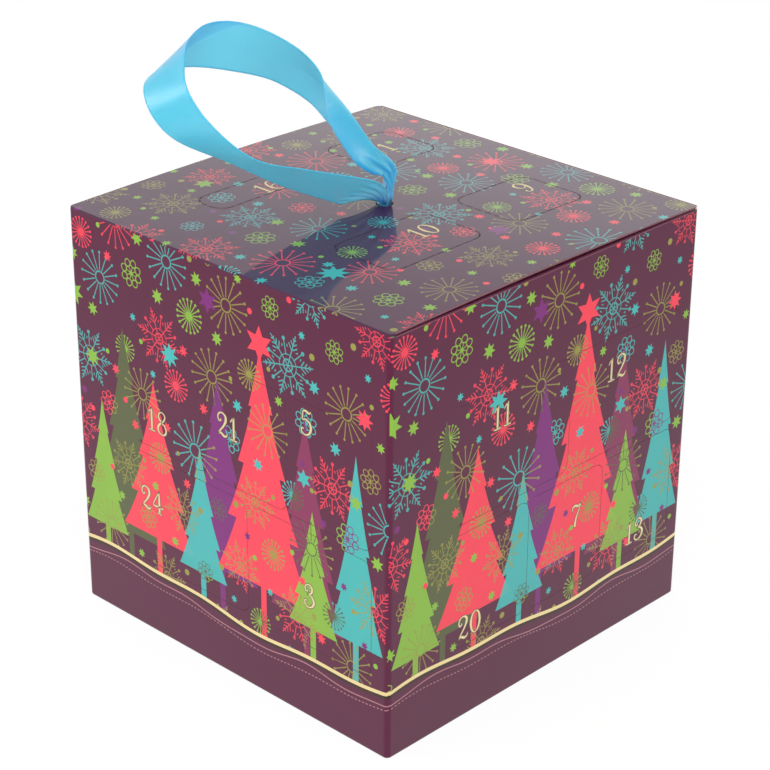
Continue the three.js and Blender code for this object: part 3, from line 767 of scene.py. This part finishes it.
def number_on_door(number, middle, face, foil, rim):
    """One door's number, as foil strokes on a dark rim"""
    look = bpy.context.scene.calendar_numbers
    text = str(number)
    widths = [NARROW_FIGURE_WIDTH if figure == "1" else FIGURE_WIDTH for figure in text]
    origin = face.corner + (face.along * middle[0] + face.up * middle[1]) * MM
    mesh = bmesh.new()
    pen = -(sum(widths) + FIGURE_GAP * (len(text) - 1)) / 2

    def to_world(point, lift):
        x, y = (point.x + pen) * look.height, (point.y - 0.5) * look.height
        place = origin + face.along * x + face.up * y
        return place + face.out * (lift + rise_of_lid(place, face))

    for figure, width in zip(text, widths):
        for stroke in FIGURES[figure]:
            points = stroke_points(stroke)
            stroke_strip(mesh, points, to_world, look.outline / look.height, look.proud / 2, 1)
            stroke_strip(mesh, points, to_world, 0, look.proud, 0)
        pen += width + FIGURE_GAP
    new_piece(f"number_{number:02d}", mesh, [foil, rim], door_name(number))


def foil_material(look):
    material, wire = new_material("number_foil")
    patches = noise(object_place(wire), 400, 3)
    finish_material(wire, {"Metallic": 0.75}, {
        "Base Color": (patches * 0.5).mix(rgba(look.foil), rgba(look.foil, 0.72)),
        "Roughness": 0.24 + patches * 0.2,
        "Normal": bump(patches, 0.2, 0.00005),
    })
    return material


def rim_material(look):
    material, wire = new_material("number_rim")
    patches = noise(object_place(wire), 700, 2)
    finish_material(wire, {"Coat Weight": 1.0, "Coat Roughness": 0.05}, {
        "Base Color": (patches * 0.6).mix(rgba(look.rim), rgba(look.rim, 1.8)),
        "Roughness": 0.35 + patches * 0.2,
    })
    return material


# Stations of the ribbon's loop: place in hundredths of its reach, way across and width in
# hundredths, and cup of its edges in degrees
RIBBON_STATIONS = [
    ((2, -11, 7.5), (85, 30, 40), 70, 0),
    ((2, -22, 12), (75, 0, 65), 100, 0),
    ((-8.5, -45, 21), (80, -15, 55), 100, 0),
    ((-20.5, -67, 32), (90, -30, 40), 100, 0),
    ((-33.5, -85.5, 48.5), (80, 0, 60), 100, 0),
    ((-41, -89, 59), (75, 15, 65), 100, 0),
    ((-50, -83.5, 67.5), (75, 30, 60), 100, 0),
    ((-57, -72.5, 71.5), (70, 20, 70), 100, 0),
    ((-62, -53, 71), (50, 15, 85), 100, 0),
    ((-59, -33, 66.5), (40, 15, 90), 100, 0),
    ((-47.5, -16.5, 59), (60, -5, 80), 100, 8),
    ((-35.5, -4, 48.5), (65, -30, 70), 100, 35),
    ((-24, -2, 41), (45, -50, 75), 100, 65),
    ((-13, -4.5, 36), (30, -80, 50), 100, 85),
    ((-2, -4.5, 27.5), (30, -85, 40), 100, 90),
    ((3.5, 2.5, 17), (50, -80, 10), 65, 70),
]
RIBBON_ROWS, RIBBON_STRIPS = 300, 40
NECK_START, NECK_HEIGHT = 0.3 * MM, 0.8 * MM
NECK_ASIDE = Vector((0, 1.05, 0)) * MM
NECK_ACROSS = Vector((1, 0, 0))
PLEATS, PLEAT_LIFT, PLEAT_DRIFT = 5, 1.1 * MM, 3
SLACK, SLACK_PACE = 0.12 * MM, 95
WOVEN_EDGE = 0.92


def centripetal(points, rows):
    """Places and ways along a smooth curve that keeps its pace between uneven points"""
    places = []
    for row in range(rows + 1):
        (a, b, c, d), step = around(points, row / rows * (len(points) - 1))
        knots = [0.0]
        for start, end in ((a, b), (b, c), (c, d)):
            knots.append(knots[-1] + max((end - start).length, 1e-6) ** 0.5)
        t = knots[1] + step * (knots[2] - knots[1])

        def between(under, over, low, high):
            return under.lerp(over, (t - knots[low]) / (knots[high] - knots[low]))

        first, second, third = between(a, b, 0, 1), between(b, c, 1, 2), between(c, d, 2, 3)
        left, right = between(first, second, 0, 2), between(second, third, 1, 3)
        places.append(between(left, right, 1, 2))
    return places, ways_along(places)


def ribbon_rows(look):
    """Rows of points across the ribbon, each with its place, its way out and its run"""
    heights = (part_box("ribbon_knot")[1].z + NECK_START, RIBBON_EXIT.z + NECK_HEIGHT)
    narrowest = look.gathered / look.width
    first = [(UP * height - NECK_ASIDE, NECK_ACROSS, narrowest, 0) for height in heights]
    last = [(UP * height + NECK_ASIDE, NECK_ACROSS, narrowest, 0) for height in reversed(heights)]
    loop = [(RIBBON_EXIT + in_hundredths(at) * look.reach, in_hundredths(way), wide / 100, cup)
            for at, way, wide, cup in RIBBON_STATIONS]
    middles, acrosses, widths, cups = zip(*first, *loop, *last)
    places, ways = centripetal(middles, RIBBON_ROWS)
    rows = []
    run = 0.0
    for row, (place, along) in enumerate(zip(places, ways)):
        run += (place - places[max(row - 1, 0)]).length
        share_along = row / RIBBON_ROWS * (len(middles) - 1)
        across = uniform(acrosses, share_along)
        across = (across - along * across.dot(along)).normalized()
        normal = along.cross(across)
        wide = min(max(uniform(widths, share_along), narrowest), 1)
        cup = radians(uniform(cups, share_along))
        gathered = sqrt(1 - wide * wide)
        rows.append((place, across, normal, wide, cup, gathered, run))
    return rows


# Crease that the ribbon kept from its packing, slanting over the far side of the loop; the satin
# on one side of it is painted darker as shade
CREASE_START, CREASE_MIDDLE, CREASE_ONSET = 132 * MM, 163 * MM, 20 * MM
CREASE_WAY = (0.901, 0.433)
CREASE_SLOPE, CREASE_FADE = -0.3, 5 * MM


def stored_crease(run, aside):
    """Lift of the ribbon beside its crease"""
    beyond = CREASE_WAY[0] * aside - CREASE_WAY[1] * (run - CREASE_MIDDLE)
    onset = min(max((run - CREASE_START) / CREASE_ONSET, 0), 1)
    return CREASE_SLOPE * max(beyond, 0) * exp(-beyond / CREASE_FADE) * onset


def join_rings(mesh, ring, following):
    """Faces between two closed rings of points"""
    for index, point in enumerate(ring):
        other = (index + 1) % len(ring)
        mesh.faces.new([point, ring[other], following[other], following[index]])


def smooth_out(mesh):
    """Smooth faces that look outward"""
    for face in mesh.faces:
        face.smooth = True
    bmesh.ops.recalc_face_normals(mesh, faces=mesh.faces)


def ribbon_mesh(look):
    """The ribbon as a thin strip with two faces, pleated where it is gathered"""
    rows = ribbon_rows(look)
    total = rows[-1][-1]
    mesh = bmesh.new()
    weave = mesh.verts.layers.float_vector.new("ribbon_run")
    rings = []
    half = RIBBON_STRIPS // 2
    for place, across, normal, wide, cup, gathered, run in rows:
        strip = look.width * wide / RIBBON_STRIPS
        sides = []
        for side in (-1, 1):
            spot, points = place, []
            for index in range(1, half + 1):
                turn = cup * sqrt((2 * index - 1) / RIBBON_STRIPS)
                spot = spot + (across * side * cos(turn) + normal * sin(turn)) * strip
                points.append((spot, -side * turn, side * index / half))
            sides.append(points)
        section = [*reversed(sides[0]), (place, 0, 0), *sides[1]]
        ring = []
        for face in (-1, 1):
            for spot, lean, edge in section if face < 0 else reversed(section):
                out = normal * cos(lean) + across * sin(lean)
                pleat = cos(edge * pi * PLEATS + run / total * PLEAT_DRIFT)
                lift = pleat * PLEAT_LIFT * gathered
                slack = SLACK * sin(run * SLACK_PACE + edge * 2.2) * (1 - gathered)
                slack += stored_crease(run, edge * look.width / 2)
                thick = look.thickness * (0.5 + 0.12 * (abs(edge) > WOVEN_EDGE)) * face
                vertex = mesh.verts.new(spot + out * (lift + slack + thick))
                vertex[weave] = (edge * look.width / 2, run, total)
                ring.append(vertex)
        rings.append(ring)
    for ring, following in zip(rings, rings[1:]):
        join_rings(mesh, ring, following)
    for ring in (rings[0], rings[-1]):
        for index in range(len(ring) // 2 - 1):
            far = -1 - index
            mesh.faces.new([ring[index], ring[far], ring[far - 1], ring[index + 1]])
    smooth_out(mesh)
    return mesh


def satin_material(name, woven):
    """Satin: fine threads along the ribbon, a closer woven edge, soft cross streaks and, on the
    handle, painted shade beside the stored crease
    """
    look = bpy.context.scene.calendar_ribbon
    material, wire = new_material(name)
    run = object_place(wire)
    if woven:
        run = wire.node("ShaderNodeAttribute", attribute_name="ribbon_run").output("Vector")
    across, along, _ = run.parts()
    turns = 2 * pi / look.thread
    threads = (across * turns).math("SINE")
    picks = (along * turns * 0.8).math("SINE")
    streaks = noise(run.vector("MULTIPLY", (1, 14, 1)), 120, 3)
    weave = threads * 0.5 + picks * 0.25 + streaks * 0.4
    tint = (streaks * 0.2).mix(rgba(look.satin), rgba(look.shade))
    varying = {
        "Base Color": tint,
        "Roughness": 0.32 + streaks * 0.08,
        "Normal": bump(weave, 0.16, 0.00004),
    }
    if woven:
        # Painted shade: the satin darkened on one side of the stored crease, as the shade of the
        # fold
        beyond = across * CREASE_WAY[0] - (along - CREASE_MIDDLE) * CREASE_WAY[1]
        crease_shade = beyond.ramp(-0.4 * MM, 0.6 * MM)
        onset = along.ramp(CREASE_START, CREASE_START + CREASE_ONSET)
        tint = (crease_shade * onset * 0.55).mix(tint, rgba(look.shade, 0.8))
        edge = abs(across) > look.width / 2 - 0.9 * MM
        varying["Base Color"] = (edge * 0.35).mix(tint, rgba(look.shade))
    fixed = {
        "Specular IOR Level": 0.6, "Sheen Weight": 0.05, "Sheen Roughness": 0.35,
        "Subsurface Weight": 1.0, "Subsurface Radius": (1, 1, 1), "Subsurface Scale": 0.003,
    }
    finish_material(wire, fixed, varying)
    return material


# Knot: middle below its top, bends and height of its path, half sizes of the gathered ribbon
KNOT_DEPTH = 5.5 * MM
KNOT_BEND, KNOT_RISE = 1.55 * MM, 3.1 * MM
KNOT_WIDE, KNOT_THICK = 2.7 * MM, 1.6 * MM
KNOT_STEPS, KNOT_SIDES = 120, 12
KNOT_CREASE, KNOT_CREASES = 0.16, 6

# Tails: spread from upright, length, notch and thickness on each side of the middle
TAIL_SPREAD = radians(24)
TAIL_TOP = 2.4 * MM
TAIL_START, TAIL_LENGTH, TAIL_NOTCH = 0.5 * MM, 15.2 * MM, 4 * MM
TAIL_FOLD, TAIL_HALF = 0.45 * MM, 0.18 * MM
TAIL_ROWS, TAIL_COLUMNS = 14, 9


def overhand(angle):
    """A point on the middle line of the knot"""
    bend = (2 + cos(3 * angle)) * KNOT_BEND
    return Vector((cos(2 * angle) * bend, sin(2 * angle) * bend, sin(3 * angle) * KNOT_RISE))


def knot_mesh():
    """Overhand knot of the gathered ribbon, with two notched tails"""
    middle = Vector((0, 0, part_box("ribbon_knot")[1].z - KNOT_DEPTH))
    mesh = bmesh.new()
    rings = []
    for step in range(KNOT_STEPS):
        turn = 2 * pi * step / KNOT_STEPS
        place = overhand(turn)
        along = (overhand(turn + 0.01) - overhand(turn - 0.01)).normalized()
        across = along.cross(place).normalized()
        normal = across.cross(along)
        ring = []
        for side in range(KNOT_SIDES):
            angle = 2 * pi * side / KNOT_SIDES
            crease = 1 + KNOT_CREASE * cos(angle * KNOT_CREASES + turn * 4)
            out = across * cos(angle) * KNOT_WIDE + normal * sin(angle) * KNOT_THICK
            ring.append(mesh.verts.new(middle + place + out * crease))
        rings.append(ring)
    for ring, following in zip(rings, [*rings[1:], rings[0]]):
        join_rings(mesh, ring, following)
    for side in (-1, 1):
        knot_tail(mesh, side, middle)
    smooth_out(mesh)
    return mesh


def knot_tail(mesh, side, middle):
    """One tail of the knot: a creased strip with a notched end"""
    spread = TAIL_SPREAD * side
    down = Vector((0, sin(spread), -cos(spread)))
    out = Vector((0, cos(spread), sin(spread)))
    start = middle - UP * TAIL_TOP
    rows, columns = TAIL_ROWS, TAIL_COLUMNS
    grid = {}
    for face, row, column in product((-1, 1), range(rows), range(columns)):
        share_down = row / (rows - 1)
        aside = column / (columns - 1) * 2 - 1
        notch = (1 - abs(aside)) * TAIL_NOTCH
        fall = TAIL_START + (TAIL_LENGTH - notch) * share_down
        width = (2.2 + 1.8 * share_down ** 0.6) * MM
        fold = cos(aside * pi * 2) * TAIL_FOLD * (1 - share_down * 0.75)
        place = start + down * fall + NECK_ACROSS * aside * width
        grid[face, row, column] = mesh.verts.new(place + out * (fold + face * TAIL_HALF))
    for face, row, column in product((-1, 1), range(rows - 1), range(columns - 1)):
        mesh.faces.new([grid[face, row, column], grid[face, row + 1, column],
                        grid[face, row + 1, column + 1], grid[face, row, column + 1]])
    rim = [(0, column) for column in range(columns)]
    rim += [(row, columns - 1) for row in range(1, rows)]
    rim += [(rows - 1, column) for column in range(columns - 2, -1, -1)]
    rim += [(row, 0) for row in range(rows - 2, 0, -1)]
    for spot, following in zip(rim, [*rim[1:], rim[0]]):
        corners = ((-1, *spot), (-1, *following), (1, *following), (1, *spot))
        mesh.faces.new([grid[corner] for corner in corners])


# Operators, one for each group of pieces
class CALENDAR_OT_printed_sides(bpy.types.Operator):
    """Print the four walls and their doors"""

    bl_idname = "calendar.printed_sides"
    bl_label = "Printed sides"

    def execute(self, context):
        for name in SIDES:
            material = printed_material(
                f"print_{name}", FACES[name], TREES, SIDE_STARS, True, SIDE_VARNISH_INDEX
            )
            dress(material, "printed_board", f"wall_{name}")
            dress(material, "printed_door", *map(door_name, DOORS[name]))
        return {"FINISHED"}


class CALENDAR_OT_printed_lid(bpy.types.Operator):
    """Print the lid and its doors"""

    bl_idname = "calendar.printed_lid"
    bl_label = "Printed lid"

    def execute(self, context):
        material = printed_material(
            "print_lid", FACES["lid"], [], LID_STARS, False, LID_VARNISH_INDEX
        )
        dress(material, "printed_board", "lid_panel")
        dress(material, "printed_door", *map(door_name, DOORS["lid"]))
        return {"FINISHED"}


class CALENDAR_OT_flaps(bpy.types.Operator):
    """Give flaps and bottom their plum outside and plain inside"""

    bl_idname = "calendar.flaps"
    bl_label = "Flaps and bottom"

    def execute(self, context):
        dress(flap_material("flap_tuck", (0, 1, 0)), "printed_board", "tuck_flap")
        dust = flap_material("flap_dust", (0, 0, 1))
        dress(dust, "printed_board", "dust_flap_right", "dust_flap_left")
        dress(flap_material("bottom_print", (0, 0, -1)), "printed_board", "bottom_panel")
        inside = card_material("board_inside", context.scene.calendar_card.inside)
        dress(inside, "board_inside", "glue_flap", "bottom_inner_flap", "bottom_flap_left",
              "bottom_flap_right")
        return {"FINISHED"}


class CALENDAR_OT_trays(bpy.types.Operator):
    """Give trays, pockets, deck, sleeve and riser white card"""

    bl_idname = "calendar.trays"
    bl_label = "Trays and pockets"

    def execute(self, context):
        card = card_material("white_card", context.scene.calendar_card.card)
        dress(card, "white_card", "top_deck", "core_sleeve", "base_riser",
              *(f"tray_{name}" for name in SIDES),
              *(f"pocket_{number:02d}" for number in DOORS["lid"]))
        return {"FINISHED"}


class CALENDAR_OT_numbers(bpy.types.Operator):
    """Put the foil numbers on the doors"""

    bl_idname = "calendar.numbers"
    bl_label = "Door numbers"

    def execute(self, context):
        look = context.scene.calendar_numbers
        foil, rim = foil_material(look), rim_material(look)
        for name, numbers in DOORS.items():
            for number, middle in numbers.items():
                number_on_door(number, middle, FACES[name], foil, rim)
        return {"FINISHED"}


class CALENDAR_OT_ribbon(bpy.types.Operator):
    """Make the satin ribbon handle"""

    bl_idname = "calendar.ribbon"
    bl_label = "Ribbon handle"

    def execute(self, context):
        look = context.scene.calendar_ribbon
        satin = satin_material("ribbon_satin", True)
        piece = new_piece("ribbon_handle", ribbon_mesh(look), [satin], "lid")
        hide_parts("ribbon_loop")
        return {"FINISHED"}


class CALENDAR_OT_knot(bpy.types.Operator):
    """Make the knot under the lid"""

    bl_idname = "calendar.knot"
    bl_label = "Ribbon knot"

    def execute(self, context):
        satin = satin_material("knot_satin", False)
        piece = new_piece("ribbon_knot_tied", knot_mesh(), [satin], "lid")
        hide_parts("ribbon_knot")
        return {"FINISHED"}


# Camera: place, direction and field of view fitted to the photograph
CAMERA_PLACE = (0.66841, -0.69359, 0.57019)
CAMERA_AZIMUTH, CAMERA_ELEVATION = radians(43.897), radians(25.482)
CAMERA_ROLL, CAMERA_FIELD = radians(0.3765), radians(19.015)


def add_camera():
    data = bpy.data.cameras.new("photo_camera")
    data.sensor_fit = "HORIZONTAL"
    data.angle = CAMERA_FIELD
    data.clip_start = 0.01
    camera = new_object("photo_camera", data)
    camera.matrix_world = (
        Matrix.Translation(CAMERA_PLACE) @ Matrix.Rotation(CAMERA_AZIMUTH, 4, "Z")
        @ Matrix.Rotation(pi / 2 - CAMERA_ELEVATION, 4, "X")
        @ Matrix.Rotation(CAMERA_ROLL, 4, "Z")
    )
    bpy.context.scene.camera = camera


# Floor: half its side, its own white and how much of that is seen, and the distances from
# the cube between which its mirror image dims, and by how much
FLOOR_HALF = 4
FLOOR_WHITE, FLOOR_SHARE = 1.03, 0.88
FLOOR_NEAR, FLOOR_FAR, FLOOR_DIM = 0.15, 0.65, 0.35
WHITE = (1, 1, 1, 1)

# Backdrop that the varnish mirrors: heights of the ray's way and the strengths at them
BACKDROP_LOW, BACKDROP_HIGH = 0.25, 0.47
BACKDROP_BRIGHT, BACKDROP_DULL = 1.35, 0.62

# Lamps: place and size of each
LAMPS = {
    "key": ((-1.5, -1.7, 0.6), 0.9),
    "front": ((0.95, -1.05, 1.2), 0.8),
    "fill": ((1.5, -0.7, 1.2), 0.8),
}
LAMP_AIM = Vector((0, 0, 0.15))


def add_floor(tint):
    """Pale floor that keeps the shadow and shows almost white"""
    mesh = bmesh.new()
    bmesh.ops.create_grid(mesh, x_segments=2, y_segments=2, size=FLOOR_HALF)
    material, wire = new_material("studio_floor")
    rays = wire.node("ShaderNodeLightPath").output("Is Camera Ray")
    glossy = rays.output("Is Glossy Ray")
    matte = wire.node("ShaderNodeBsdfDiffuse", [rgba(tint)])
    distance = object_place(wire).vector("LENGTH")
    strength = FLOOR_WHITE - glossy * distance.ramp(FLOOR_NEAR, FLOOR_FAR, 0, FLOOR_DIM)
    white = wire.node("ShaderNodeEmission", (WHITE, strength))
    seen = (rays | glossy | rays.output("Is Transmission Ray")) * FLOOR_SHARE
    surface = wire.node("ShaderNodeMixShader", (seen, matte, white))
    wire.node("ShaderNodeOutputMaterial", [surface])
    mesh_object("studio_floor", mesh, material)


def add_world(strength):
    """Even light from all round, white where it is seen, and a bright backdrop in the gloss"""
    world = bpy.data.worlds.new("studio")
    bpy.context.scene.world = world
    world.use_nodes = True
    world.node_tree.nodes.clear()
    wire = Wire(world.node_tree)
    rays = wire.node("ShaderNodeLightPath").output("Is Camera Ray")
    glossy, passing = rays.output("Is Glossy Ray"), rays.output("Is Transmission Ray")
    _, _, height = wire.node("ShaderNodeTexCoord").output("Generated").parts()
    backdrop = height.ramp(
        BACKDROP_LOW, BACKDROP_HIGH, BACKDROP_BRIGHT, BACKDROP_DULL, kind="LINEAR"
    )
    seen = (rays | passing) * (1 - strength) + glossy * (backdrop - strength)
    surface = wire.node("ShaderNodeBackground", (WHITE, strength + seen))
    wire.node("ShaderNodeOutputWorld", [surface])


def add_lamp(name, place, size, watts):
    data = bpy.data.lights.new(name, "AREA")
    data.size = size
    data.energy = watts
    lamp = new_object(name, data)
    lamp.location = place
    lamp.rotation_euler = (LAMP_AIM - Vector(place)).to_track_quat("-Z", "Y").to_euler()


class CALENDAR_OT_stage(bpy.types.Operator):
    """Set up the camera, the floor, the lamps and the background"""

    bl_idname = "calendar.stage"
    bl_label = "Studio"

    def execute(self, context):
        look = context.scene.calendar_studio
        context.scene.view_settings.view_transform = "Standard"
        add_camera()
        add_floor(look.floor)
        add_world(look.daylight)
        for name, (place, size) in LAMPS.items():
            add_lamp(f"{name}_lamp", place, size, getattr(look, name))
        return {"FINISHED"}


class CALENDAR_PT_panel(bpy.types.Panel):
    """Steps that build the calendar"""

    bl_idname = "CALENDAR_PT_panel"
    bl_label = "Advent calendar"
    bl_space_type = "VIEW_3D"
    bl_region_type = "UI"
    bl_category = "Calendar"

    def draw(self, context):
        column = self.layout.column()
        for operator in OPERATORS:
            column.operator(operator.bl_idname)


LOOKS = {
    "calendar_print": PrintLook,
    "calendar_card": CardLook,
    "calendar_numbers": NumberLook,
    "calendar_ribbon": RibbonLook,
    "calendar_studio": StudioLook,
}
OPERATORS = [
    CALENDAR_OT_stage,
    CALENDAR_OT_printed_sides,
    CALENDAR_OT_printed_lid,
    CALENDAR_OT_flaps,
    CALENDAR_OT_trays,
    CALENDAR_OT_numbers,
    CALENDAR_OT_ribbon,
    CALENDAR_OT_knot,
]


def register():
    for name, look in LOOKS.items():
        bpy.utils.register_class(look)
        setattr(bpy.types.Scene, name, PointerProperty(type=look))
    for made in (*OPERATORS, CALENDAR_PT_panel):
        bpy.utils.register_class(made)


def unregister():
    for made in (CALENDAR_PT_panel, *reversed(OPERATORS)):
        bpy.utils.unregister_class(made)
    for name, look in LOOKS.items():
        delattr(bpy.types.Scene, name)
        bpy.utils.unregister_class(look)


def main():
    register()
    for operator in OPERATORS:
        getattr(bpy.ops.calendar, operator.bl_idname.split(".")[1])()


if __name__ == "__main__":
    main()
